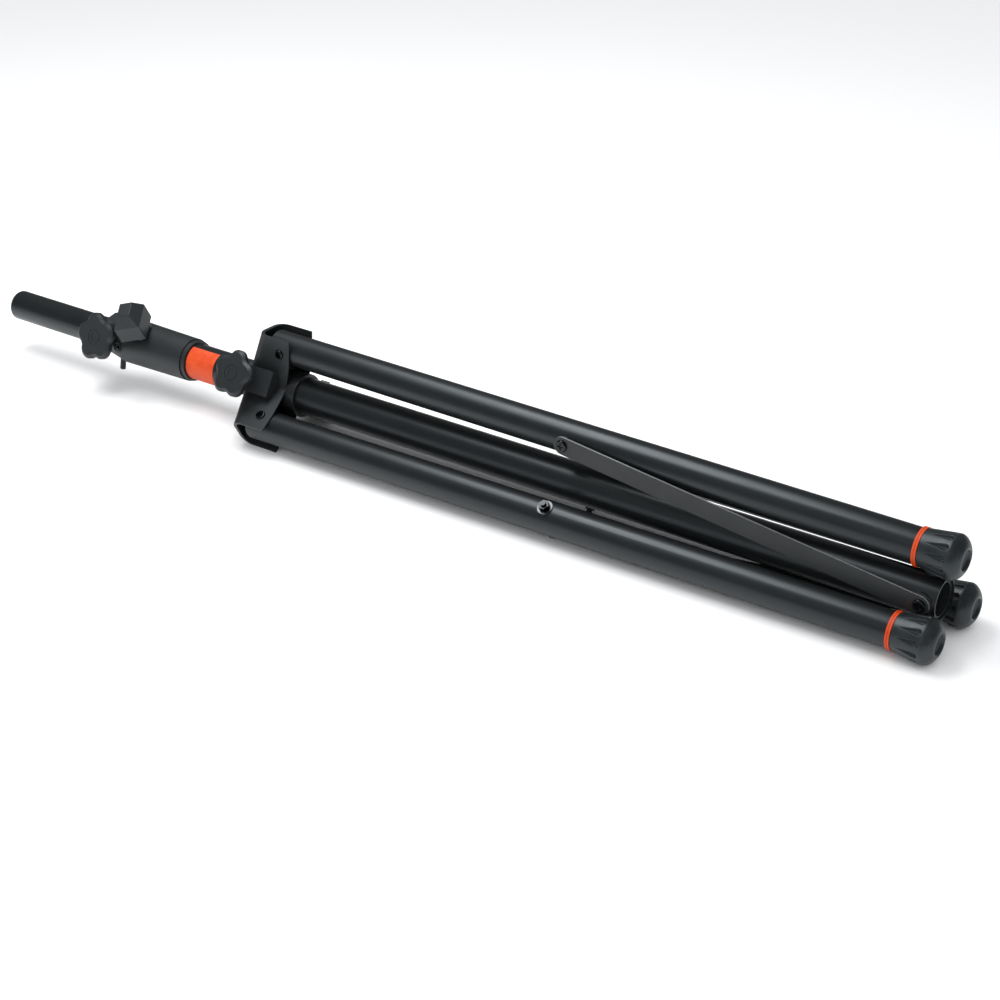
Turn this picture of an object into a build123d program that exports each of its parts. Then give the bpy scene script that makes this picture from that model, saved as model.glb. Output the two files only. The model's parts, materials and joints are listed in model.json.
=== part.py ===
from build123d import *
from math import cos, radians, sin, sqrt
import os

# Folding tripod stand for a loudspeaker, folded flat and lying on its side.
# The mast runs along X with the feet towards +X. Angles round the mast are counted
# from straight up (+Z) towards -Y, so leg 1 is at 0, leg 2 at 120 and leg 3 at 240.
# `u` is a distance along X from the hub's leg pivots, positive towards the feet.
# `h` and names ending in _H are distances from the mast axis.

os.makedirs("parts", exist_ok=True)

# ---------------------------------------------------------------- driving dimensions
POLE_R = 17.5                 # standard 35 mm speaker pole
POLE_WALL = 1.5
POLE_LENGTH = 1140.0
POLE_TIP_U = -439.3           # pole tip when the pole is pushed right in
CAP_RIM = 3.0                 # visible height of the pole cap
CAP_DEPTH = 22.0
LOCK_HOLES = (150.0, 290.0, 430.0, 570.0, 700.0)   # heights that the pull pin locks
GROOVE_U = -292.0             # ring groove that ends the speaker's seat on the pole
GROOVE_WIDTH = 2.0
GROOVE_DEPTH = 0.5
GUIDE_RIM = 8.0
GUIDE_LENGTH = 24.0

MAST_R = 20.5
MAST_WALL = 1.5
MAST_TOP_U = -200.0
MAST_END_U = 775.0
PLUG_LIP = 2.0
PLUG_DEPTH = 14.0
PLUG_WALL = 3.0
LABEL_U = -143.0
LABEL_LENGTH = 41.0
LABEL_FROM = 16.0             # degrees
LABEL_TO = 164.0
LABEL_T = 0.25

LEG_R = 17.5
LEG_WALL = 1.5
LEG_ANGLES = {1: 0.0, 2: 120.0, 3: 240.0}
LEG_TOE_IN = 0.42             # degrees that a folded leg leans towards the mast
LEG_TOP = -15.0               # end of the leg tube, from the hub pivot
LEG_PLUG_RIM = 3.0
LEG_PLUG_DEPTH = 27.0
TUBE_END = 751.0
RING_AT = 746.2
RING_WIDTH = 4.3
RING_R = 18.9
RING_GROOVE = 0.7
RING_GROOVE_DEPTH = 0.45
FOOT_SPIGOT = 30.0
FOOT_NECK_R = 18.4
FOOT_SHOULDER = (780.5, 22.2) # along the leg, radius
FOOT_CONE = (787.2, 19.3)
FOOT_RIM_R = 12.0
FOOT_END = 791.0
DIMPLE_R = 8.0
DIMPLE_DEPTH = 3.4
FLUTES = 12
FLUTE_FROM = 758.0
FLUTE_TO = 777.0
FLUTE_R = 2.5                 # round end of a flute; it runs out to a point
FLUTE_FLOOR_R = 19.0

PIVOT_R = 50.9                # hub pivots from the mast axis
BRACE_PIVOT_AT = 373.5        # brace pivot along the leg
LOWER_PIVOT_U = 761.0         # brace pivots on the mast
PAD_R = 11.5                  # saddle pads under the lower pivots
BAR_WIDTH = 19.0
BAR_T = 2.0
BAR_C = 21.3                  # inner face of each brace bar, sideways from the leg axis
BOLT_R = 3.0
BOLT_HEAD_R = 6.3
BOLT_HEAD_H = 2.2
SPACER_R = 7.5
WASHER_R = 8.0
WASHER_T = 1.2
NUT_FLATS = 10.0
NUT_T = 5.0
STUD_END = 2.5
RUN = 0.08                    # running clearance on a radius
GAP = 0.3                     # clearance between bodies that pass each other
SEAT_GAP = 0.15

CHEEK_IN = 17.9
CHEEK_OUT = 19.4
ARM_TOP = 68.5
ARM_OUTLINE = ((-49, 0), (-49, 22), (-31, ARM_TOP), (15, ARM_TOP), (13.4, 44), (9.2, 20), (5, 8), (5, 0))
CHANNEL_OUTLINE = ((-44, 18), (-44, 24), (-24.3, ARM_TOP + 6), (30, ARM_TOP + 6), (30, 18))
BEND_R = 12.0                 # outside of the bends between web and cheeks
BEND_INNER_R = 10.4
BARREL_R = 23.0
BARREL_FROM = -57.0
BARREL_TO = 8.0
FLANGE_R = 24.2
FLANGE_TO = 20.0
SLEEVE_R = 21.4
HUB_KNOB_U = -39.1
HUB_KNOB_ANGLE = 60.0
HUB_KNOB_TURN = 13.1
HUB_BOSS_H = 39.5
HUB_RIM_H = 61.2
BOSS_FROM = -55.0
BOSS_TO = -2.5
BOSS_HALF = 14.5
BOSS_CORNER_R = 2.0
PIN_R = 4.0
PIN_HEAD_R = 5.5
PIN_HEAD_H = 2.0

COLLAR_MOUTH_U = -277.0
COLLAR_MOUTH_R = 20.2
COLLAR_SHOULDER_U = -245.0
COLLAR_END_U = -150.0
COLLAR_R = 26.2
COLLAR_END_R = 24.7
COLLAR_LIP = 8.0              # narrow mouth in front of the bush
MOUTH_BORE_R = 18.0
RING_SEAT = 4.0               # depth of the dark ring in the collar's end
COLLAR_RING_R = 23.2
COLLAR_RING_L = 10.0
LUG_ANGLE = 12.0
LUG_LENGTH = 36.0
LUG_WIDTH = 17.0
LUG_H = 27.0
CLAMP_U = -260.9
CLAMP_ANGLE = 70.3
CLAMP_TURN = 28.8
CLAMP_GROWTH = 1.5            # the clamp knob is this much bigger all round
CLAMP_BOSS_R = 11.5
CLAMP_BOSS_H = 27.6
CLAMP_RIM_H = 48.1
SCREW_U = -247.0
SCREW_ANGLES = (90.0, 270.0)
SCREW_SEAT_H = 27.2
SCREW_SEAT_R = 6.0
SCREW_HEAD_R = 4.4
SCREW_R = 2.0
POST_U = -262.0
POST_ANGLE = 170.0
POST_R = 3.3
POST_ROOT_H = 21.5
POST_LENGTH = 16.5

LOCK_U = -219.8
LOCK_ANGLE = 28.6
LOCK_BOSS_H = 31.6
LOCK_BOSS_SIZE = (22.0, 22.0, 5.0)    # length, width, corner radius
HANDLE_TURN = 28.7
HANDLE_SHIFT = -3.6
HANDLE_SIZE = (31.0, 35.5)
HANDLE_FACE = (15.0, 20.0)
HANDLE_SHOULDER_H = 52.6
HANDLE_TOP_H = 66.3
PIN_SOCKET = 14.0

KNOB_LOBES = 5
KNOB_LOBE_AT = 15.4
KNOB_LOBE_R = 11.2
KNOB_VALLEY_R = 9.5
KNOB_RIM = 4.5                # full-width band of the grip
KNOB_BEVEL = 3.5              # width of the slope round the face
KNOB_BEVEL_H = 2.5
KNOB_BACK = 6.0               # slope behind the band
KNOB_BACK_INSET = 5.0
KNOB_NECK_R = 9.5
KNOB_MARK_R = 9.0
STUD_R = 4.0
INSERT_R = 6.0

# ------------------------------------------------------------------------- placement
TOTAL = FOOT_END - POLE_TIP_U
HUB_X = -TOTAL / 2 - POLE_TIP_U          # origin under the middle of the length
MAST_Z = ARM_TOP * 0.5 + CHEEK_OUT * sqrt(0.75)     # the lower arms touch Z = 0


def out_dir(angle):
    """Unit vector away from the mast at `angle`."""
    return Vector(0, -sin(radians(angle)), cos(radians(angle)))


def side_dir(angle):
    """Unit vector round the mast, towards growing angle."""
    return Vector(0, -cos(radians(angle)), -sin(radians(angle)))


def mast_point(u, height=0.0, angle=0.0, side=0.0):
    return (Vector(HUB_X + u, 0, MAST_Z) + out_dir(angle) * height + side_dir(angle) * side)


def across(u):
    """Plane square to the mast."""
    return Plane(origin=mast_point(u), x_dir=(0, -1, 0), z_dir=(1, 0, 0))


def radial(u, angle, height):
    """Plane facing away from the mast, `height` from its axis; local x is +X."""
    return Plane(origin=mast_point(u, height, angle), x_dir=(1, 0, 0), z_dir=out_dir(angle))


def lengthwise(angle, side=0.0):
    """Plane through the mast axis and `angle`: local x is u, local y is the distance out."""
    return Plane(origin=mast_point(0, 0, angle, side), x_dir=(1, 0, 0), z_dir=side_dir(angle))


def leg_axis(angle):
    lean = radians(LEG_TOE_IN)
    return Vector(cos(lean), 0, 0) - out_dir(angle) * sin(lean)


def leg_point(angle, along, side=0.0):
    return mast_point(0, PIVOT_R, angle, side) + leg_axis(angle) * along


def leg_across(angle, along):
    """Plane square to a leg; local x is sideways, towards the brace."""
    return Plane(origin=leg_point(angle, along), x_dir=side_dir(angle), z_dir=leg_axis(angle))


def leg_side(angle, along=0.0, side=0.0):
    """Plane facing sideways from a leg; local x runs down the leg, local y outwards."""
    return Plane(origin=leg_point(angle, along, side), x_dir=leg_axis(angle), z_dir=side_dir(angle))


MAST_AXIS = Axis(mast_point(0), (1, 0, 0))


def save(part, name):
    part.label = name
    export_step(part, f"parts/{name}.step")


# ------------------------------------------------------------------------ small pieces
def tube(plane, outer, inner, length):
    with BuildPart() as piece:
        with BuildSketch(plane):
            Circle(outer)
            Circle(inner, mode=Mode.SUBTRACT)
        extrude(amount=length)
    return piece.part


def pan_head(plane, head_r, head_h):
    """Domed screw head with a cross recess, standing on `plane`."""
    slot = head_r * 0.28
    with BuildPart() as piece:
        with BuildSketch(plane):
            Circle(head_r)
        extrude(amount=head_h)
        fillet(piece.faces().sort_by(Axis(plane.origin, plane.z_dir))[-1].edges(), head_h * 0.7)
        with BuildSketch(plane.offset(head_h)):
            Rectangle(head_r * 1.1, slot)
            Rectangle(slot, head_r * 1.1)
        extrude(amount=-head_h * 0.55, mode=Mode.SUBTRACT)
    return piece.part


def rod(plane, radius, length):
    with BuildPart() as piece:
        with BuildSketch(plane):
            Circle(radius)
        extrude(amount=length)
    return piece.part


def screw(plane, head_r, head_h, shank_r, shank):
    """Pan-head screw: the head stands on `plane`, the shank goes behind it."""
    head = pan_head(plane, head_r, head_h)
    with BuildPart() as piece:
        add(head)
        with BuildSketch(plane):
            Circle(shank_r)
        extrude(amount=-shank)
    return piece.part


def hex_nut(plane, across_flats, bore_r, height):
    with BuildPart() as piece:
        with BuildSketch(plane):
            RegularPolygon(across_flats / 2, 6, major_radius=False)
            Circle(bore_r, mode=Mode.SUBTRACT)
        extrude(amount=height)
    return piece.part


def polar(radius, degrees_):
    return Vector(radius * cos(radians(degrees_)), radius * sin(radians(degrees_)))


def star_outline(inset, turn):
    """Round lobes joined by tangent valleys, `inset` inside the full outline."""
    half = 180 / KNOB_LOBES
    lobe_r = KNOB_LOBE_R - inset
    valley_r = KNOB_VALLEY_R + inset
    valley = (KNOB_LOBE_AT * cos(radians(half))
              + sqrt((lobe_r + valley_r)**2 - (KNOB_LOBE_AT * sin(radians(half)))**2))
    for n in range(KNOB_LOBES):
        mid = 2 * half * n + turn
        centre = polar(KNOB_LOBE_AT, mid)
        before = polar(valley, mid - half)
        after = polar(valley, mid + half)
        following = polar(KNOB_LOBE_AT, mid + 2 * half)
        start = centre + (before - centre).normalized() * lobe_r
        end = centre + (after - centre).normalized() * lobe_r
        next_start = following + (after - following).normalized() * lobe_r
        ThreePointArc(start, polar(KNOB_LOBE_AT + lobe_r, mid), end)
        ThreePointArc(end, polar(valley - valley_r, mid + half), next_start)


def star_slice(u, angle, turn, low, low_inset, high, high_inset):
    """Part of a star grip between two distances from the mast axis."""
    with BuildPart() as piece:
        for height, inset in ((low, low_inset), (high, high_inset)):
            with BuildSketch(radial(u, angle, height)):
                with BuildLine():
                    star_outline(inset, turn)
                make_face()
        loft(ruled=True)
    return piece.part


def star_knob(u, angle, turn, base_h, rim_h, growth=0.0):
    """Five-lobed grip with a bevelled face and a round neck; `rim_h` is the bevel's outer edge."""
    face_h = rim_h + KNOB_BEVEL_H
    band_h = rim_h - KNOB_RIM
    back_h = band_h - KNOB_BACK
    back = star_slice(u, angle, turn, back_h, KNOB_BACK_INSET - growth, band_h, -growth)
    band = star_slice(u, angle, turn, band_h, -growth, rim_h, -growth)
    bevel = star_slice(u, angle, turn, rim_h, -growth, face_h, KNOB_BEVEL - growth)
    with BuildPart() as piece:
        add(back)
        add(band)
        add(bevel)
        with BuildSketch(radial(u, angle, base_h)):
            Circle(KNOB_NECK_R)
        extrude(amount=back_h - base_h + 1)
        with BuildSketch(radial(u, angle, face_h)):
            Circle(KNOB_MARK_R)
            Circle(KNOB_MARK_R - 1, mode=Mode.SUBTRACT)
            Circle(KNOB_MARK_R / 2)
        extrude(amount=-0.4, mode=Mode.SUBTRACT)
        with BuildSketch(radial(u, angle, base_h)):
            Circle(STUD_R)
        extrude(amount=stud_top(rim_h) - base_h, mode=Mode.SUBTRACT)
    return piece.part


def stud_top(rim_h):
    return rim_h - KNOB_RIM


# ------------------------------------------------------------------------------- mast
save(tube(across(MAST_TOP_U), MAST_R, MAST_R - MAST_WALL, MAST_END_U - MAST_TOP_U), "mast_tube")

with BuildPart() as label:
    with BuildSketch(Plane(origin=mast_point(LABEL_U), x_dir=(0, 0, 1), z_dir=(1, 0, 0))):
        with BuildLine():
            inner = CenterArc((0, 0), MAST_R, LABEL_FROM, LABEL_TO - LABEL_FROM)
            outer = CenterArc((0, 0), MAST_R + LABEL_T, LABEL_FROM, LABEL_TO - LABEL_FROM)
            Line(inner @ 0, outer @ 0)
            Line(inner @ 1, outer @ 1)
        make_face()
    extrude(amount=LABEL_LENGTH)
save(label.part, "mast_label")

with BuildPart() as end_plug:
    with BuildSketch(across(MAST_END_U - PLUG_DEPTH)):
        Circle(MAST_R - MAST_WALL)
        Circle(MAST_R - MAST_WALL - PLUG_WALL, mode=Mode.SUBTRACT)
    extrude(amount=PLUG_DEPTH - PLUG_LIP)
    with BuildSketch(across(MAST_END_U - PLUG_DEPTH)):
        Circle(MAST_R - MAST_WALL - PLUG_WALL)
    extrude(amount=PLUG_LIP)
save(end_plug.part, "mast_end_plug")

# Saddle pads under the braces' lower ends: flat outside, hollowed to the tube inside.
for number, leg_angle in LEG_ANGLES.items():
    with BuildPart() as pad:
        with BuildSketch(radial(LOWER_PIVOT_U, leg_angle + 90, MAST_R - 4)):
            Circle(PAD_R)
        extrude(amount=BAR_C - GAP - (MAST_R - 4))
        with BuildSketch(across(LOWER_PIVOT_U - PAD_R)):
            Circle(MAST_R)
        extrude(amount=2 * PAD_R, mode=Mode.SUBTRACT)
    save(pad.part, f"lower_pad_{number}")

# ----------------------------------------------------------------------------- collar
BUSH_R = MAST_R
with BuildPart() as collar:
    with BuildSketch(lengthwise(0)):
        with BuildLine():
            Polyline((COLLAR_MOUTH_U, 0), (COLLAR_MOUTH_U, COLLAR_MOUTH_R), (COLLAR_SHOULDER_U, COLLAR_R),
                     (COLLAR_END_U, COLLAR_END_R), (COLLAR_END_U, 0), close=True)
        make_face()
    revolve(axis=MAST_AXIS)
    with BuildSketch(radial(CLAMP_U, CLAMP_ANGLE, MAST_R)):
        Circle(CLAMP_BOSS_R)
    extrude(amount=CLAMP_BOSS_H - MAST_R)
    with BuildSketch(radial(LOCK_U, LOCK_ANGLE, MAST_R)):
        RectangleRounded(*LOCK_BOSS_SIZE)
    extrude(amount=LOCK_BOSS_H - MAST_R)
    with BuildSketch(radial(COLLAR_MOUTH_U + LUG_LENGTH / 2 + 2, LUG_ANGLE, MAST_R)):
        RectangleRounded(LUG_LENGTH, LUG_WIDTH, 3)
    extrude(amount=LUG_H - MAST_R)
    for angle in SCREW_ANGLES:
        with BuildSketch(radial(SCREW_U, angle, MAST_R)):
            Circle(SCREW_SEAT_R)
        extrude(amount=SCREW_SEAT_H - MAST_R)
    # bores: narrow mouth, then the seat of bush and mast tube
    with BuildSketch(across(COLLAR_MOUTH_U)):
        Circle(MOUTH_BORE_R)
    extrude(amount=COLLAR_END_U - COLLAR_MOUTH_U, mode=Mode.SUBTRACT)
    with BuildSketch(across(COLLAR_MOUTH_U + COLLAR_LIP)):
        Circle(BUSH_R)
    extrude(amount=COLLAR_END_U - COLLAR_MOUTH_U, mode=Mode.SUBTRACT)
    with BuildSketch(radial(CLAMP_U, CLAMP_ANGLE, MOUTH_BORE_R)):
        Circle(INSERT_R)
    extrude(amount=20, mode=Mode.SUBTRACT)
    with BuildSketch(radial(LOCK_U, LOCK_ANGLE, MOUTH_BORE_R)):
        Circle(STUD_R + RUN)
    extrude(amount=20, mode=Mode.SUBTRACT)
    for angle in SCREW_ANGLES:
        with BuildSketch(radial(SCREW_U, angle, MOUTH_BORE_R)):
            Circle(SCREW_R)
        extrude(amount=20, mode=Mode.SUBTRACT)
    with BuildSketch(radial(POST_U, POST_ANGLE, POST_ROOT_H)):
        Circle(POST_R)
    extrude(amount=10, mode=Mode.SUBTRACT)
    with BuildSketch(across(COLLAR_END_U - RING_SEAT)):
        Circle(COLLAR_RING_R)
    extrude(amount=RING_SEAT + 1, mode=Mode.SUBTRACT)
save(collar.part, "collar")

save(tube(across(COLLAR_END_U - RING_SEAT), COLLAR_RING_R, MAST_R, COLLAR_RING_L), "collar_ring")

with BuildPart() as bush:
    with BuildSketch(across(COLLAR_MOUTH_U + COLLAR_LIP)):
        Circle(BUSH_R)
        Circle(POLE_R + RUN, mode=Mode.SUBTRACT)
    extrude(amount=MAST_TOP_U - COLLAR_MOUTH_U - COLLAR_LIP)
    with BuildSketch(radial(CLAMP_U, CLAMP_ANGLE, 0)):
        Circle(INSERT_R)
    extrude(amount=30, mode=Mode.SUBTRACT)
    with BuildSketch(radial(LOCK_U, LOCK_ANGLE, 0)):
        Circle(STUD_R + RUN)
    extrude(amount=30, mode=Mode.SUBTRACT)
save(bush.part, "collar_bush")

save(tube(radial(CLAMP_U, CLAMP_ANGLE, POLE_R + 1), INSERT_R, STUD_R + RUN, CLAMP_BOSS_H - POLE_R - 1),
     "clamp_insert")

collar_screws = [screw(radial(SCREW_U, angle, SCREW_SEAT_H), SCREW_HEAD_R, BOLT_HEAD_H, SCREW_R, 6)
                 for angle in SCREW_ANGLES]
save(Compound(children=collar_screws), "collar_screws")

with BuildPart() as post:
    with BuildSketch(radial(POST_U, POST_ANGLE, POST_ROOT_H)):
        Circle(POST_R)
    extrude(amount=POST_LENGTH)
    fillet(post.faces().sort_by(Axis(mast_point(POST_U), out_dir(POST_ANGLE)))[-1].edges(), 1)
save(post.part, "collar_post")

# ------------------------------------------------------------------------------- pole
with BuildPart() as pole:
    with BuildSketch(across(POLE_TIP_U + CAP_RIM)):
        Circle(POLE_R)
        Circle(POLE_R - POLE_WALL, mode=Mode.SUBTRACT)
    extrude(amount=POLE_LENGTH - CAP_RIM)
    with BuildSketch(across(GROOVE_U)):
        Circle(POLE_R + 1)
        Circle(POLE_R - GROOVE_DEPTH, mode=Mode.SUBTRACT)
    extrude(amount=GROOVE_WIDTH, mode=Mode.SUBTRACT)
    for height in LOCK_HOLES:
        with BuildSketch(radial(LOCK_U + height, LOCK_ANGLE, POLE_R - 4)):
            Circle(STUD_R + 0.4)
        extrude(amount=6, mode=Mode.SUBTRACT)
save(pole.part, "pole_tube")

with BuildPart() as pole_cap:
    with BuildSketch(lengthwise(0)):
        with BuildLine():
            Polyline((POLE_TIP_U, 0), (POLE_TIP_U, POLE_R), (POLE_TIP_U + CAP_RIM, POLE_R),
                     (POLE_TIP_U + CAP_RIM, POLE_R - POLE_WALL),
                     (POLE_TIP_U + CAP_DEPTH, POLE_R - POLE_WALL),
                     (POLE_TIP_U + CAP_DEPTH, 0), close=True)
        make_face()
    revolve(axis=MAST_AXIS)
    fillet(pole_cap.edges().group_by(Axis.X)[0], 2.6)
save(pole_cap.part, "pole_cap")

POLE_END_U = POLE_TIP_U + POLE_LENGTH
with BuildPart() as guide:
    with BuildSketch(across(POLE_END_U)):
        Circle(MAST_R - MAST_WALL - RUN)
        Circle(POLE_R - POLE_WALL - 2, mode=Mode.SUBTRACT)
    extrude(amount=GUIDE_RIM)
    with BuildSketch(across(POLE_END_U - GUIDE_LENGTH)):
        Circle(POLE_R - POLE_WALL)
        Circle(POLE_R - POLE_WALL - 2, mode=Mode.SUBTRACT)
    extrude(amount=GUIDE_LENGTH)
save(guide.part, "pole_guide")

# ----------------------------------------------------------------- knobs and pull pin
save(star_knob(CLAMP_U, CLAMP_ANGLE, CLAMP_TURN, CLAMP_BOSS_H + GAP, CLAMP_RIM_H, CLAMP_GROWTH),
     "clamp_knob")
save(rod(radial(CLAMP_U, CLAMP_ANGLE, POLE_R + 0.2), STUD_R, stud_top(CLAMP_RIM_H) - POLE_R - 0.2),
     "clamp_stud")

# Faceted block, turned about its pull axis: straight sides, then four slopes to a small face.
LOCK_BASE_H = LOCK_BOSS_H + GAP
with BuildPart() as lock_handle:
    with BuildSketch(radial(LOCK_U, LOCK_ANGLE, LOCK_BASE_H)):
        with Locations(Location((0, HANDLE_SHIFT), HANDLE_TURN)):
            Rectangle(*HANDLE_SIZE)
    extrude(amount=HANDLE_SHOULDER_H - LOCK_BASE_H)
    for height, size in ((HANDLE_SHOULDER_H, HANDLE_SIZE), (HANDLE_TOP_H, HANDLE_FACE)):
        with BuildSketch(radial(LOCK_U, LOCK_ANGLE, height)):
            with Locations(Location((0, HANDLE_SHIFT), HANDLE_TURN)):
                Rectangle(*size)
    loft(ruled=True)
    fillet(lock_handle.edges(), 1.2)
    with BuildSketch(radial(LOCK_U, LOCK_ANGLE, LOCK_BASE_H)):
        Circle(STUD_R)
    extrude(amount=PIN_SOCKET, mode=Mode.SUBTRACT)
save(lock_handle.part, "lock_handle")
save(rod(radial(LOCK_U, LOCK_ANGLE, POLE_R + 0.2), STUD_R, LOCK_BASE_H + PIN_SOCKET - POLE_R - 0.2),
     "lock_pin")

# -------------------------------------------------------------------------------- hub
def arm_solid(angle, outline, half, bend_r):
    """Outline pulled out to both sides of an arm's middle, rounded along its second edge, the web."""
    low, high = (mast_point(*corner, angle) for corner in outline[1:3])
    with BuildPart() as piece:
        with BuildSketch(lengthwise(angle, -half)):
            with BuildLine():
                Polyline(*outline, close=True)
            make_face()
        extrude(amount=2 * half)
        fillet(piece.edges().filter_by(Axis(low, high - low)), bend_r)
    return piece.part


blocks = [arm_solid(angle, ARM_OUTLINE, CHEEK_OUT, BEND_R) for angle in LEG_ANGLES.values()]
channels = [arm_solid(angle, CHANNEL_OUTLINE, CHEEK_IN, BEND_INNER_R) for angle in LEG_ANGLES.values()]
with BuildPart() as hub:
    for block in blocks:
        add(block)
    for channel in channels:
        add(channel, mode=Mode.SUBTRACT)
    with BuildSketch(across(BARREL_FROM)):
        Circle(BARREL_R)
    extrude(amount=BARREL_TO - BARREL_FROM)
    with BuildSketch(radial((BOSS_FROM + BOSS_TO) / 2, HUB_KNOB_ANGLE, SLEEVE_R - 3)):
        RectangleRounded(BOSS_TO - BOSS_FROM, 2 * BOSS_HALF, BOSS_CORNER_R)
    extrude(amount=HUB_BOSS_H - SLEEVE_R + 3)
    with BuildSketch(across(BARREL_FROM - 1)):
        Circle(SLEEVE_R)
    extrude(amount=BARREL_TO - BARREL_FROM + 2, mode=Mode.SUBTRACT)
    with BuildSketch(across(BARREL_TO)):
        Circle(FLANGE_R)
    extrude(amount=FLANGE_TO - BARREL_TO, mode=Mode.SUBTRACT)
    with BuildSketch(radial(HUB_KNOB_U, HUB_KNOB_ANGLE, 0)):
        Circle(INSERT_R)
    extrude(amount=60, mode=Mode.SUBTRACT)
    for leg_angle in LEG_ANGLES.values():
        with BuildSketch(Plane(origin=mast_point(0, PIVOT_R, leg_angle, -CHEEK_OUT - 2),
                               x_dir=(1, 0, 0), z_dir=side_dir(leg_angle))):
            Circle(PIN_R)
        extrude(amount=2 * CHEEK_OUT + 4, mode=Mode.SUBTRACT)
save(hub.part, "hub_bracket")

with BuildPart() as sleeve:
    with BuildSketch(across(BARREL_FROM)):
        Circle(SLEEVE_R)
        Circle(MAST_R + RUN, mode=Mode.SUBTRACT)
    extrude(amount=BARREL_TO - BARREL_FROM)
    with BuildSketch(across(BARREL_TO)):
        Circle(FLANGE_R)
        Circle(MAST_R + RUN, mode=Mode.SUBTRACT)
    extrude(amount=FLANGE_TO - BARREL_TO)
    fillet(sleeve.edges().filter_by(GeomType.CIRCLE).group_by(Axis.X)[-1].sort_by(
        lambda e: e.radius)[-1], 1)
    with BuildSketch(radial(HUB_KNOB_U, HUB_KNOB_ANGLE, 0)):
        Circle(INSERT_R)
    extrude(amount=60, mode=Mode.SUBTRACT)
save(sleeve.part, "hub_sleeve")

save(tube(radial(HUB_KNOB_U, HUB_KNOB_ANGLE, MAST_R + 1), INSERT_R, STUD_R + RUN,
          HUB_BOSS_H - MAST_R - 1), "hub_insert")

pins = []
pin_screws = []
for leg_angle in LEG_ANGLES.values():
    for end in (-1, 1):
        seat = Plane(origin=mast_point(0, PIVOT_R, leg_angle, end * CHEEK_OUT), x_dir=(1, 0, 0),
                     z_dir=side_dir(leg_angle) * end)
        pin_screws.append(pan_head(seat, PIN_HEAD_R, PIN_HEAD_H))
    pins.append(rod(seat, PIN_R, -2 * CHEEK_OUT))
save(Compound(children=pins), "hub_pins")
save(Compound(children=pin_screws), "hub_screws")

save(star_knob(HUB_KNOB_U, HUB_KNOB_ANGLE, HUB_KNOB_TURN, HUB_BOSS_H + GAP, HUB_RIM_H), "hub_knob")
save(rod(radial(HUB_KNOB_U, HUB_KNOB_ANGLE, MAST_R + 0.2), STUD_R, stud_top(HUB_RIM_H) - MAST_R - 0.2),
     "hub_stud")

# ------------------------------------------------------------------------------- legs
FOOT_START = RING_AT + RING_WIDTH


def leg_tube(angle):
    with BuildPart() as piece:
        with BuildSketch(leg_across(angle, LEG_TOP)):
            Circle(LEG_R)
            Circle(LEG_R - LEG_WALL, mode=Mode.SUBTRACT)
        extrude(amount=TUBE_END - LEG_TOP)
        for along, hole in ((0, PIN_R + RUN), (BRACE_PIVOT_AT, BOLT_R)):
            with BuildSketch(leg_side(angle, along, -LEG_R - 2)):
                Circle(hole)
            extrude(amount=2 * LEG_R + 4, mode=Mode.SUBTRACT)
    return piece.part


def leg_ring(angle):
    """Coloured ring with a groove round its middle."""
    ring = tube(leg_across(angle, RING_AT), RING_R, LEG_R, RING_WIDTH)
    groove = tube(leg_across(angle, RING_AT + (RING_WIDTH - RING_GROOVE) / 2), RING_R + 1,
                  RING_R - RING_GROOVE_DEPTH, RING_GROOVE)
    with BuildPart() as piece:
        add(ring)
        add(groove, mode=Mode.SUBTRACT)
    return piece.part


def leg_plug(angle):
    """Rounded plastic plug in the top of the leg, bored for the hub pin."""
    inside = LEG_R - LEG_WALL
    axis = Axis(leg_point(angle, 0), leg_axis(angle))
    with BuildPart() as piece:
        with BuildSketch(leg_side(angle)):
            with BuildLine():
                Polyline((LEG_TOP - LEG_PLUG_RIM, 0), (LEG_TOP - LEG_PLUG_RIM, LEG_R), (LEG_TOP, LEG_R),
                         (LEG_TOP, inside), (LEG_TOP + LEG_PLUG_DEPTH, inside),
                         (LEG_TOP + LEG_PLUG_DEPTH, 0), close=True)
            make_face()
        revolve(axis=axis)
        fillet(piece.edges().group_by(Axis(leg_point(angle, 0), leg_axis(angle)))[0], 2.4)
        with BuildSketch(leg_side(angle, 0, -LEG_R)):
            Circle(PIN_R + RUN)
        extrude(amount=2 * LEG_R, mode=Mode.SUBTRACT)
    return piece.part


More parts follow.
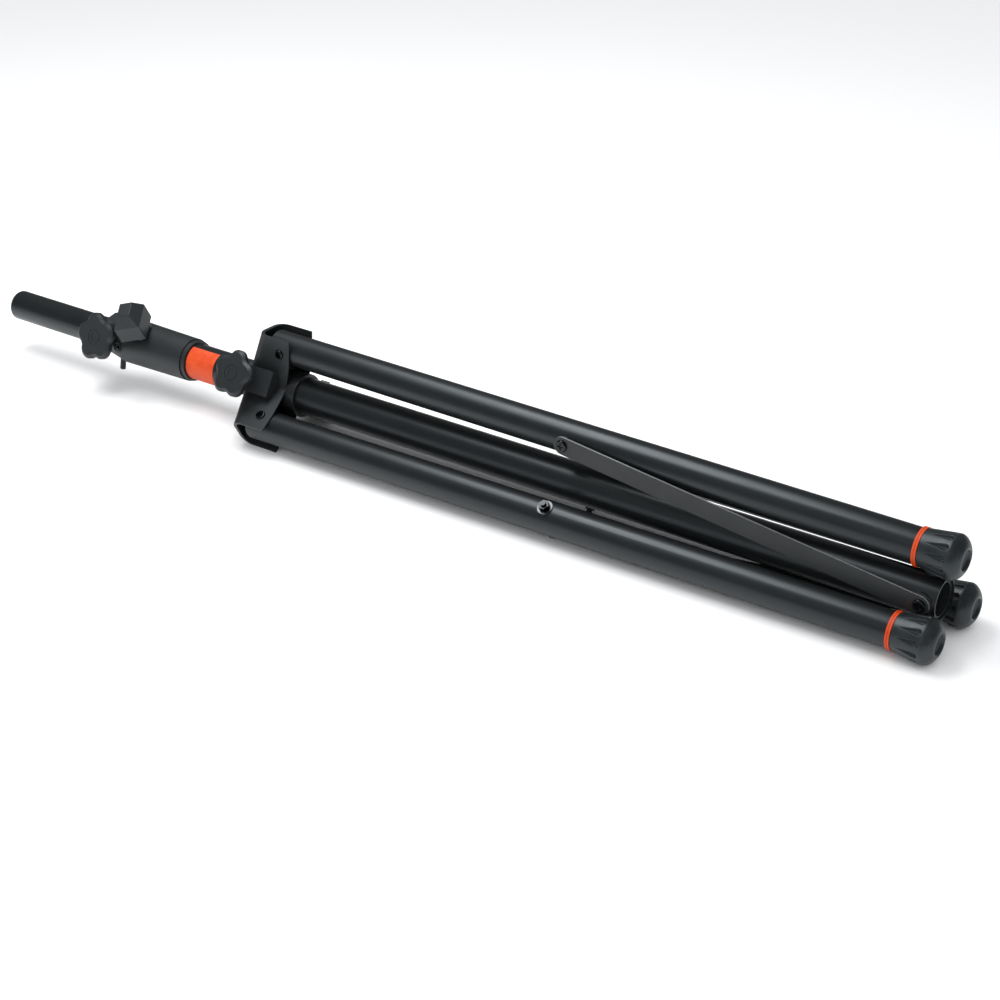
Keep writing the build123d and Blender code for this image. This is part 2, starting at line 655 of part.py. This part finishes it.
def leg_foot(angle):
    """Rubber foot: spigot in the tube, flared fluted cap, dimpled end."""
    inside = LEG_R - LEG_WALL
    axis = Axis(leg_point(angle, 0), leg_axis(angle))
    with BuildPart() as piece:
        with BuildSketch(leg_side(angle)):
            with BuildLine():
                Polyline((TUBE_END - FOOT_SPIGOT, 0), (TUBE_END - FOOT_SPIGOT, inside),
                         (TUBE_END, inside), (TUBE_END, LEG_R), (FOOT_START, LEG_R),
                         (FOOT_START, FOOT_NECK_R), FOOT_SHOULDER)
                ThreePointArc(FOOT_SHOULDER, FOOT_CONE, (FOOT_END - 1, FOOT_RIM_R + 1.5))
                ThreePointArc((FOOT_END - 1, FOOT_RIM_R + 1.5), (FOOT_END, FOOT_RIM_R - 0.5),
                              (FOOT_END - 1, DIMPLE_R + 1))
                Polyline((FOOT_END - 1, DIMPLE_R + 1), (FOOT_END - DIMPLE_DEPTH, DIMPLE_R - 1),
                         (FOOT_END - DIMPLE_DEPTH, 0), (TUBE_END - FOOT_SPIGOT, 0))
            make_face()
        revolve(axis=axis)
        for n in range(FLUTES):
            turn = 360 / FLUTES * (n + 0.5)
            outward = out_dir(angle) * cos(radians(turn)) + side_dir(angle) * sin(radians(turn))
            lean = leg_axis(angle)
            outward = (outward - lean * outward.dot(lean)).normalized()
            flute = Plane(origin=leg_point(angle, FLUTE_TO - FLUTE_R) + outward * FLUTE_FLOOR_R,
                          x_dir=lean, z_dir=outward)
            with BuildSketch(flute):
                with BuildLine():
                    Polyline((0, FLUTE_R), (FLUTE_FROM - FLUTE_TO, 0.5), (FLUTE_FROM - FLUTE_TO, -0.5),
                             (0, -FLUTE_R))
                    ThreePointArc((0, -FLUTE_R), (FLUTE_R, 0), (0, FLUTE_R))
                make_face()
            extrude(amount=6, mode=Mode.SUBTRACT)
    return piece.part


def saddle(angle, side_from, side_to, radius, bore):
    """Round spacer hollowed to sit on the leg tube at the brace pivot."""
    with BuildPart() as piece:
        with BuildSketch(leg_side(angle, BRACE_PIVOT_AT, side_from)):
            Circle(radius)
            Circle(bore, mode=Mode.SUBTRACT)
        extrude(amount=side_to - side_from)
        with BuildSketch(leg_across(angle, BRACE_PIVOT_AT - radius - 1)):
            Circle(LEG_R)
        extrude(amount=2 * radius + 2, mode=Mode.SUBTRACT)
    return piece.part


def brace_bar(angle):
    upper = leg_point(angle, BRACE_PIVOT_AT, BAR_C)
    lower = mast_point(LOWER_PIVOT_U, 0, angle, BAR_C)
    length = (lower - upper).length
    flat = Plane(origin=upper, x_dir=lower - upper, z_dir=side_dir(angle))
    with BuildPart() as piece:
        with BuildSketch(flat):
            with Locations((length / 2, 0)):
                SlotCenterToCenter(length, BAR_WIDTH)
            with Locations((0, 0), (length, 0)):
                Circle(BOLT_R + RUN, mode=Mode.SUBTRACT)
        extrude(amount=BAR_T)
    return piece.part


def lower_screw(angle):
    """Screw of the brace's lower end, cut off flush with the bar's inner face."""
    seat = radial(LOWER_PIVOT_U, angle + 90, BAR_C + BAR_T)
    return screw(seat, BOLT_HEAD_R, BOLT_HEAD_H, BOLT_R, BAR_T)


for number, leg_angle in LEG_ANGLES.items():
    save(leg_tube(leg_angle), f"leg_{number}_tube")
    save(leg_plug(leg_angle), f"leg_{number}_plug")
    save(leg_ring(leg_angle), f"leg_{number}_ring")
    save(leg_foot(leg_angle), f"leg_{number}_foot")
    save(saddle(leg_angle, LEG_R - 3, BAR_C - SEAT_GAP, SPACER_R, BOLT_R), f"leg_{number}_spacer")
    washer_top = -LEG_R - WASHER_T
    save(saddle(leg_angle, washer_top, -LEG_R + 3, WASHER_R, BOLT_R), f"leg_{number}_washer")
    nut_seat = leg_side(leg_angle, BRACE_PIVOT_AT, washer_top - NUT_T)
    save(hex_nut(nut_seat, NUT_FLATS, BOLT_R, NUT_T), f"leg_{number}_nut")
    bolt_seat = leg_side(leg_angle, BRACE_PIVOT_AT, BAR_C + BAR_T + SEAT_GAP)
    shank = BAR_C + BAR_T + SEAT_GAP - washer_top + NUT_T + STUD_END
    save(screw(bolt_seat, BOLT_HEAD_R, BOLT_HEAD_H, BOLT_R, shank), f"leg_{number}_bolt")
    save(brace_bar(leg_angle), f"brace_{number}_bar")
    save(lower_screw(leg_angle), f"brace_{number}_screw")
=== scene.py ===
"""Looks of the folded loudspeaker stand: materials, detailed pieces, floor, light and camera."""
import json
from math import ceil, cos, pi, radians, sin, sqrt

import bpy
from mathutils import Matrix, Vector

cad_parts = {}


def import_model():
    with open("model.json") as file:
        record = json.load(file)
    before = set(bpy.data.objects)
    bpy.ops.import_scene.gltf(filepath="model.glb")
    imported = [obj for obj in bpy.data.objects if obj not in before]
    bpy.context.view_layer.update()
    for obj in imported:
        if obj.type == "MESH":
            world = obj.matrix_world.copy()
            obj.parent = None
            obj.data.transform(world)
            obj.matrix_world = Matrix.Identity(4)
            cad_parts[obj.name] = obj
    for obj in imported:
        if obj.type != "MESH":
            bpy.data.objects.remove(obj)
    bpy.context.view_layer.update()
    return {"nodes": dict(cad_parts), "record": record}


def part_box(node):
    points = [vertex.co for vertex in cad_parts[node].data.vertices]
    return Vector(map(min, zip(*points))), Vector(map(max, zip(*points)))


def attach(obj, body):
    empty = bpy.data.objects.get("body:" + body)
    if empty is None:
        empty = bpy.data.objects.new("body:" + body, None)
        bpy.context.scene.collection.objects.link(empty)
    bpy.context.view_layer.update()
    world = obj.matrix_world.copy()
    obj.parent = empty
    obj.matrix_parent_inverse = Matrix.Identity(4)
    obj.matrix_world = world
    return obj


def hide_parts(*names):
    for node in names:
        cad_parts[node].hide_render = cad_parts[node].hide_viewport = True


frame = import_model()

MM = 0.001
LEGS = (1, 2, 3)

# -------------------------------------------------------------------------- materials
# Colours are pairs: the darker and the lighter end of a surface's slow drift.
TUBE_COAT = ((0.0062, 0.0074, 0.0080), (0.0090, 0.0106, 0.0114))
TUBE_DUST = (0.05, 0.055, 0.058)
NYLON = ((0.0105, 0.0124, 0.0134), (0.0140, 0.0164, 0.0177))
ACETAL = ((0.009, 0.010, 0.011), (0.014, 0.015, 0.016))
ORANGE = ((0.52, 0.046, 0.006), (0.62, 0.066, 0.010))
RUBBER = ((0.0105, 0.0130, 0.0142), (0.0165, 0.0200, 0.0215))
BAR_COAT = ((0.0120, 0.0148, 0.0164), (0.0165, 0.0200, 0.0218))
BAR_SCUFF = (0.09, 0.10, 0.105)
BARE_STEEL = (0.40, 0.42, 0.43)
BLACK_ZINC = ((0.022, 0.024, 0.026), (0.045, 0.048, 0.052))
BRASS = ((0.60, 0.40, 0.14), (0.78, 0.57, 0.26))
GREY_ZINC = ((0.060, 0.064, 0.068), (0.115, 0.120, 0.125))
FLOOR_WHITE = ((0.90, 0.90, 0.90), (0.915, 0.915, 0.915))
COOL_GLINT = (0.86, 0.95, 1.0, 1)
SOFT_GLINT = (0.9, 0.96, 1.0, 1)
USUAL = (0.3, 0.7)            # where most of a noise's values lie
NO_STRETCH = (1, 1, 1)


def shader(name):
    """New material: its node tree and its Principled shader."""
    material = bpy.data.materials.new(name)
    material.use_nodes = True
    return material, material.node_tree, material.node_tree.nodes["Principled BSDF"]


def position(tree, stretch=NO_STRETCH):
    """Object coordinates, squeezed along the axes where the pattern is long."""
    place = tree.nodes.new("ShaderNodeTexCoord")
    squeeze = tree.nodes.new("ShaderNodeVectorMath")
    squeeze.operation = "MULTIPLY"
    squeeze.inputs[1].default_value = stretch
    tree.links.new(place.outputs["Object"], squeeze.inputs[0])
    return squeeze.outputs["Vector"]


def noise(tree, where, size, detail=3.0, rough=0.55):
    """Noise whose features are about `size` metres across."""
    node = tree.nodes.new("ShaderNodeTexNoise")
    node.inputs["Scale"].default_value = 1 / size
    node.inputs["Detail"].default_value = detail
    node.inputs["Roughness"].default_value = rough
    tree.links.new(where, node.inputs["Vector"])
    return node.outputs["Fac"]


def remap(tree, value, source, target):
    """Value taken from the `source` range to the `target` range, and held at its ends."""
    node = tree.nodes.new("ShaderNodeMapRange")
    for socket, number in zip(("From Min", "From Max", "To Min", "To Max"), (*source, *target)):
        node.inputs[socket].default_value = number
    tree.links.new(value, node.inputs["Value"])
    return node.outputs["Result"]


def maths(tree, operation, first, second=0):
    """One sum on two values; each is a number or a socket."""
    node = tree.nodes.new("ShaderNodeMath")
    node.operation = operation
    for socket, value in zip(node.inputs, (first, second)):
        if isinstance(value, (int, float)):
            socket.default_value = value
        else:
            tree.links.new(value, socket)
    return node.outputs["Value"]


def blend(tree, share, first, second):
    """Colour mix by a socket; each colour is a tuple or a socket."""
    node = tree.nodes.new("ShaderNodeMix")
    node.data_type = "RGBA"
    tree.links.new(share, node.inputs["Factor"])
    for socket, colour in ((node.inputs[6], first), (node.inputs[7], second)):
        if isinstance(colour, tuple):
            socket.default_value = (*colour, 1)
        else:
            tree.links.new(colour, socket)
    return node.outputs[2]


def bump(tree, height, depth, under=None):
    """Normal from a 0 to 1 height that is `depth` metres deep, on top of `under`."""
    node = tree.nodes.new("ShaderNodeBump")
    node.inputs["Strength"].default_value = 1.0
    node.inputs["Distance"].default_value = depth
    tree.links.new(height, node.inputs["Height"])
    if under is not None:
        tree.links.new(under, node.inputs["Normal"])
    return node.outputs["Normal"]


def satin_tube():
    """Satin black powder coat: fine orange peel, faint draw lines along the tube and dust."""
    material, tree, surface = shader("tube_coat")
    where = position(tree)
    along = position(tree, (0.02, 1, 1))
    lines = noise(tree, along, 1.2 * MM, 4)
    peel = noise(tree, where, 0.9 * MM, 2)
    smudge = noise(tree, where, 45 * MM, 4)
    dust = remap(tree, noise(tree, where, 0.35 * MM, 1), (0.72, 0.80), (0, 0.25))
    body = blend(tree, smudge, *TUBE_COAT)
    body = blend(tree, dust, body, TUBE_DUST)
    tree.links.new(body, surface.inputs["Base Color"])
    rough = maths(tree, "ADD", remap(tree, smudge, USUAL, (0.33, 0.38)),
                  remap(tree, lines, USUAL, (-0.02, 0.02)))
    tree.links.new(rough, surface.inputs["Roughness"])
    normal = bump(tree, lines, 0.005 * MM)
    tree.links.new(bump(tree, peel, 0.010 * MM, normal), surface.inputs["Normal"])
    surface.inputs["Specular Tint"].default_value = COOL_GLINT
    return material


def moulded(name, colours, rough, grain, depth):
    """Spark-eroded moulded plastic; `grain` and `depth` are the texture's size and height."""
    material, tree, surface = shader(name)
    where = position(tree)
    cloud = noise(tree, where, 30 * MM, 3)
    fine = noise(tree, where, grain, 2, 0.7)
    peaks = tuple(2.2 * channel for channel in colours[1])
    body = blend(tree, cloud, *colours)
    body = blend(tree, remap(tree, fine, (0.55, 0.75), (0, 0.35)), body, peaks)
    tree.links.new(body, surface.inputs["Base Color"])
    tree.links.new(maths(tree, "ADD", remap(tree, cloud, USUAL, (rough - 0.04, rough + 0.04)),
                         remap(tree, fine, USUAL, (-0.05, 0.05))), surface.inputs["Roughness"])
    tree.links.new(bump(tree, fine, depth), surface.inputs["Normal"])
    surface.inputs["Specular Tint"].default_value = SOFT_GLINT
    return material


def rubber():
    """Moulded rubber of the feet: soft sheen, fine pits, a little dust."""
    material, tree, surface = shader("rubber")
    where = position(tree)
    cloud = noise(tree, where, 12 * MM, 4)
    pits = noise(tree, where, 0.5 * MM, 3)
    body = blend(tree, remap(tree, cloud, (0.35, 0.75), (0, 1)), *RUBBER)
    tree.links.new(body, surface.inputs["Base Color"])
    tree.links.new(remap(tree, cloud, USUAL, (0.33, 0.42)), surface.inputs["Roughness"])
    tree.links.new(bump(tree, pits, 0.02 * MM), surface.inputs["Normal"])
    surface.inputs["Specular Tint"].default_value = COOL_GLINT
    return material


def orange():
    """Coloured film or ring: slight drift of the colour and fine surface waves."""
    material, tree, surface = shader("orange_plastic")
    where = position(tree)
    cloud = noise(tree, where, 9 * MM, 4)
    fine = noise(tree, where, 0.25 * MM, 2)
    specks = tuple(0.6 * channel for channel in ORANGE[0])
    body = blend(tree, remap(tree, cloud, (0.35, 0.65), (0, 1)), *ORANGE)
    body = blend(tree, remap(tree, fine, (0.62, 0.72), (0, 0.3)), body, specks)
    tree.links.new(body, surface.inputs["Base Color"])
    tree.links.new(remap(tree, cloud, USUAL, (0.38, 0.48)), surface.inputs["Roughness"])
    tree.links.new(bump(tree, fine, 0.008 * MM), surface.inputs["Normal"])
    surface.inputs["Specular IOR Level"].default_value = 0.3
    return material


def facing(tree, direction):
    """1 on faces square to `direction`, 0 on faces along it."""
    place = tree.nodes.new("ShaderNodeTexCoord")
    dot = tree.nodes.new("ShaderNodeVectorMath")
    dot.operation = "DOT_PRODUCT"
    dot.inputs[1].default_value = direction
    tree.links.new(place.outputs["Normal"], dot.inputs[0])
    return maths(tree, "ABSOLUTE", dot.outputs["Value"])


def painted_bar(number, face):
    """Dark grey coated strip, worn to the steel on its sheared edges; `face` is its flat side."""
    material, tree, surface = shader(f"bar_coat_{number}")
    where = position(tree)
    cloud = noise(tree, where, 25 * MM, 4)
    fine = noise(tree, where, 0.5 * MM, 2)
    streaks = noise(tree, position(tree, (0.08, 1, 1)), 1.5 * MM, 5)
    scuffs = remap(tree, streaks, (0.70, 0.80), (0, 0.5))
    worn = maths(tree, "MULTIPLY", remap(tree, facing(tree, face), (0.35, 0.75), (1, 0)),
                 remap(tree, noise(tree, where, 3 * MM, 3), (0.30, 0.55), (0.75, 1.0)))
    body = blend(tree, cloud, *BAR_COAT)
    body = blend(tree, scuffs, body, BAR_SCUFF)
    body = blend(tree, worn, body, BARE_STEEL)
    tree.links.new(body, surface.inputs["Base Color"])
    rough = remap(tree, cloud, USUAL, (0.42, 0.52))
    tree.links.new(maths(tree, "SUBTRACT", rough, maths(tree, "MULTIPLY", worn, 0.12)),
                   surface.inputs["Roughness"])
    tree.links.new(maths(tree, "MULTIPLY", worn, 0.7), surface.inputs["Metallic"])
    tree.links.new(bump(tree, fine, 0.012 * MM), surface.inputs["Normal"])
    return material


def metal(name, colours, rough):
    """Plated or turned metal with fine machining marks."""
    material, tree, surface = shader(name)
    marks = noise(tree, position(tree), 0.35 * MM, 4)
    cloud = noise(tree, position(tree), 4 * MM, 3)
    tree.links.new(blend(tree, cloud, *colours), surface.inputs["Base Color"])
    tree.links.new(maths(tree, "ADD", remap(tree, cloud, USUAL, (rough, rough + 0.08)),
                         remap(tree, marks, USUAL, (-0.05, 0.05))), surface.inputs["Roughness"])
    tree.links.new(bump(tree, marks, 0.006 * MM), surface.inputs["Normal"])
    surface.inputs["Metallic"].default_value = 1.0
    return material


def leg_side(number):
    """Sideways direction of a leg, which is also square to its brace."""
    return Vector(JOINTS[f"leg_{number}_spread"]["axis"])


JOINTS = {joint["name"]: joint for joint in frame["record"]["behaviour"]["joints"]}
MATERIALS = {
    "tube_black": satin_tube(),
    "plastic_black": moulded("moulded_nylon", NYLON, rough=0.50, grain=0.45 * MM, depth=0.03 * MM),
    "bush_plastic": moulded("acetal", ACETAL, rough=0.36, grain=0.8 * MM, depth=0.01 * MM),
    "accent_orange": orange(),
    "rubber_black": rubber(),
    "screw_black": metal("black_zinc", BLACK_ZINC, rough=0.17),
    "brass": metal("turned_brass", BRASS, rough=0.26),
    "zinc": metal("grey_zinc", GREY_ZINC, rough=0.26),
}
BARS = {number: painted_bar(number, leg_side(number)) for number in LEGS}
for subpart in frame["record"]["subparts"]:
    name, finish = subpart["node"], subpart["material_slot"]
    for place in frame["nodes"][name].material_slots:
        if finish == "brace_black":
            place.material = BARS[int(name.split("_")[1])]
        else:
            place.material = MATERIALS[finish]

# Edges that catch the light: softened a little where the real part is moulded or pressed, in mm.
SOFT_EDGES = {"hub_bracket": 0.5, "collar": 0.5, "collar_ring": 0.4, "clamp_knob": 0.6, "hub_knob": 0.6,
              "mast_tube": 0.3, "brace_1_bar": 0.35, "brace_2_bar": 0.35, "brace_3_bar": 0.35,
              "leg_1_nut": 0.4, "leg_2_nut": 0.4, "leg_3_nut": 0.4}
SHARP_DEG = 32
for name, width in SOFT_EDGES.items():
    softer = frame["nodes"][name].modifiers.new("soft_edges", "BEVEL")
    softer.width = width * MM
    softer.segments = 2
    softer.limit_method = "ANGLE"
    softer.angle_limit = radians(SHARP_DEG)
    softer.harden_normals = True

# ------------------------------------------------------------------------------- feet
# Profile of a rubber foot in mm: distance back from its end, and radius.
FOOT_PROFILE = ((41.0, 17.4), (40.5, 18.3), (39.0, 18.6), (32.0, 19.5), (24.0, 20.5), (16.0, 21.6),
                (12.0, 22.1), (10.4, 22.2), (8.8, 21.8), (6.4, 20.6), (3.8, 18.3), (1.7, 15.6),
                (0.7, 13.8), (0.1, 12.3), (0.0, 11.2), (0.25, 10.4), (0.9, 9.7), (2.2, 8.9), (3.1, 8.0),
                (3.4, 6.6), (3.4, 3.0))
FLUTES = 12
FLUTE_TIP = 33.5              # back from the end
FLUTE_END = 12.2
FLUTE_R = 3.1                 # round end
FLUTE_FLOOR_R = 18.6
FLUTE_ROUNDNESS = 0.55        # lower is a flatter floor with steeper sides
FLARE_BACK = 10.5             # widest place, back from the end
FLUTE_STEPS = 26              # mesh columns for each flute
ROW_STEP = 0.55


def foot_rows():
    """Profile sampled evenly: distance back from the end, and radius."""
    rows = []
    for (back, radius), (next_back, next_radius) in zip(FOOT_PROFILE, FOOT_PROFILE[1:]):
        steps = ceil(sqrt((next_back - back)**2 + (next_radius - radius)**2) / ROW_STEP)
        for step in range(steps):
            share = step / steps
            rows.append((back + (next_back - back) * share, radius + (next_radius - radius) * share))
    rows.append(FOOT_PROFILE[-1])
    return rows


def flute_depth(back, radius, round_mm):
    """Depth of a drop-shaped hollow, `round_mm` sideways from its middle."""
    centre = FLUTE_END + FLUTE_R
    if back > centre:
        half = FLUTE_R * (FLUTE_TIP - back) / (FLUTE_TIP - centre)
    else:
        half = sqrt(max(0.0, FLUTE_R**2 - (centre - back)**2))
    if half <= 0 or abs(round_mm) >= half:
        return 0.0
    return max(0.0, radius - FLUTE_FLOOR_R) * (1 - (round_mm / half)**2)**FLUTE_ROUNDNESS


def foot(number):
    """Flared rubber foot with hollowed flutes and a dimple in its end."""
    low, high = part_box(f"leg_{number}_foot")
    pivot = Vector(JOINTS[f"leg_{number}_spread"]["pos_m"])
    middle = Vector((high.x - FLARE_BACK * MM, (low.y + high.y) / 2, (low.z + high.z) / 2))
    along = (middle - pivot).normalized()
    end = middle + along * (high.x - middle.x)
    sideways = along.cross(Vector((0, 0, 1))).normalized()
    upright = sideways.cross(along)
    columns = FLUTES * FLUTE_STEPS
    rows = foot_rows()
    points = []
    for back, radius in rows:
        for column in range(columns):
            offset = (column % FLUTE_STEPS) / FLUTE_STEPS - 0.5
            round_mm = offset * 2 * pi / FLUTES * radius
            reach = (radius - flute_depth(back, radius, round_mm)) * MM
            turn = 2 * pi * column / columns
            points.append(end - along * back * MM + (upright * cos(turn) + sideways * sin(turn)) * reach)
    faces = [(row * columns + column, row * columns + (column + 1) % columns,
              (row + 1) * columns + (column + 1) % columns, (row + 1) * columns + column)
             for row in range(len(rows) - 1) for column in range(columns)]
    faces.append(tuple(range(columns))[::-1])
    faces.append(tuple(range((len(rows) - 1) * columns, len(rows) * columns)))
    mesh = bpy.data.meshes.new(f"foot_{number}")
    mesh.from_pydata(points, [], faces)
    mesh.polygons.foreach_set("use_smooth", [True] * len(mesh.polygons))
    mesh.update()
    mesh.validate()
    piece = bpy.data.objects.new(f"foot_{number}", mesh)
    bpy.context.collection.objects.link(piece)
    mesh.materials.append(MATERIALS["rubber_black"])
    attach(piece, f"leg_{number}")
    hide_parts(f"leg_{number}_foot")


for number in LEGS:
    foot(number)

# ------------------------------------------------------------------ floor, light, camera
FLOOR_HALF = 14.0
FLOOR_ROUGH = 0.30
ARM_TOUCH = 36.0              # where a hub arm lies on the floor, from the hub's upper end, mm
FOOT_TOUCH = 9.0              # where a foot lies on the floor, from its end, mm
OVERHEAD = {"at": (-0.50, -0.08, 1.5), "aim": (-0.25, 0.0, 0.05), "size": (1.3, 0.6), "watts": 20}
FILL = {"at": (0.4, -2.6, 1.6), "aim": (0.1, 0, 0.05), "size": (2.4, 1.2), "watts": 5}
SKY = (0.97, 0.985, 1.0, 1)
SKY_STRENGTH = 1.14           # as it lights the floor
SKY_IN_REFLECTIONS = 0.14
CAMERA_AT = (1.18965, -1.4852, 0.94671)
CAMERA_TILT_DEG = 62.81
CAMERA_TURN_DEG = 36.12
LENS = 71.73
SENSOR = 36.0

hub_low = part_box("hub_bracket")[0]
foot_low, foot_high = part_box("leg_2_foot")
arm_end_x = hub_low.x + ARM_TOUCH * MM
foot_x = foot_high.x - FOOT_TOUCH * MM
slope = (foot_low.z - hub_low.z) / (foot_x - arm_end_x)


def floor():
    """Pale floor that the hub's two lower arms and the two lower feet rest on."""
    level = [hub_low.z + slope * (x - arm_end_x) for x in (-FLOOR_HALF, FLOOR_HALF)]
    mesh = bpy.data.meshes.new("floor")
    mesh.from_pydata([(-FLOOR_HALF, -FLOOR_HALF, level[0]), (FLOOR_HALF, -FLOOR_HALF, level[1]),
                      (FLOOR_HALF, FLOOR_HALF, level[1]), (-FLOOR_HALF, FLOOR_HALF, level[0])],
                     [], [(0, 1, 2, 3)])
    piece = bpy.data.objects.new("floor", mesh)
    bpy.context.collection.objects.link(piece)
    material, tree, surface = shader("floor_white")
    cloud = noise(tree, position(tree), 0.6, 2)
    tree.links.new(blend(tree, cloud, *FLOOR_WHITE), surface.inputs["Base Color"])
    surface.inputs["Roughness"].default_value = FLOOR_ROUGH
    mesh.materials.append(material)


def softbox(name, at, aim, size, watts):
    """White rectangular light at `at` that shines towards `aim`."""
    light = bpy.data.lights.new(name, "AREA")
    light.shape = "RECTANGLE"
    light.size, light.size_y = size
    light.energy = watts
    lamp = bpy.data.objects.new(name, light)
    bpy.context.collection.objects.link(lamp)
    lamp.location = at
    lamp.rotation_euler = (Vector(aim) - Vector(at)).to_track_quat("-Z", "Y").to_euler()


def world():
    """White surroundings that light the floor evenly and are dim in reflections."""
    sky = bpy.data.worlds.new("studio")
    sky.use_nodes = True
    bpy.context.scene.world = sky
    tree = sky.node_tree
    back = tree.nodes["Background"]
    back.inputs["Color"].default_value = SKY
    path = tree.nodes.new("ShaderNodeLightPath")
    lit = remap(tree, path.outputs["Is Glossy Ray"], (0, 1), (SKY_STRENGTH, SKY_IN_REFLECTIONS))
    tree.links.new(maths(tree, "MAXIMUM", lit, path.outputs["Is Camera Ray"]), back.inputs["Strength"])


def camera():
    """Camera that looks down the stand from the side of its feet."""
    data = bpy.data.cameras.new("camera")
    data.sensor_width = SENSOR
    data.lens = LENS
    seat = bpy.data.objects.new("camera", data)
    bpy.context.collection.objects.link(seat)
    seat.location = CAMERA_AT
    seat.rotation_euler = (radians(CAMERA_TILT_DEG), 0, radians(CAMERA_TURN_DEG))
    data.clip_start, data.clip_end = 0.05, 60
    bpy.context.scene.camera = seat


floor()
softbox("overhead", **OVERHEAD)
softbox("fill", **FILL)
world()
camera()
bpy.context.scene.view_settings.view_transform = "Standard"
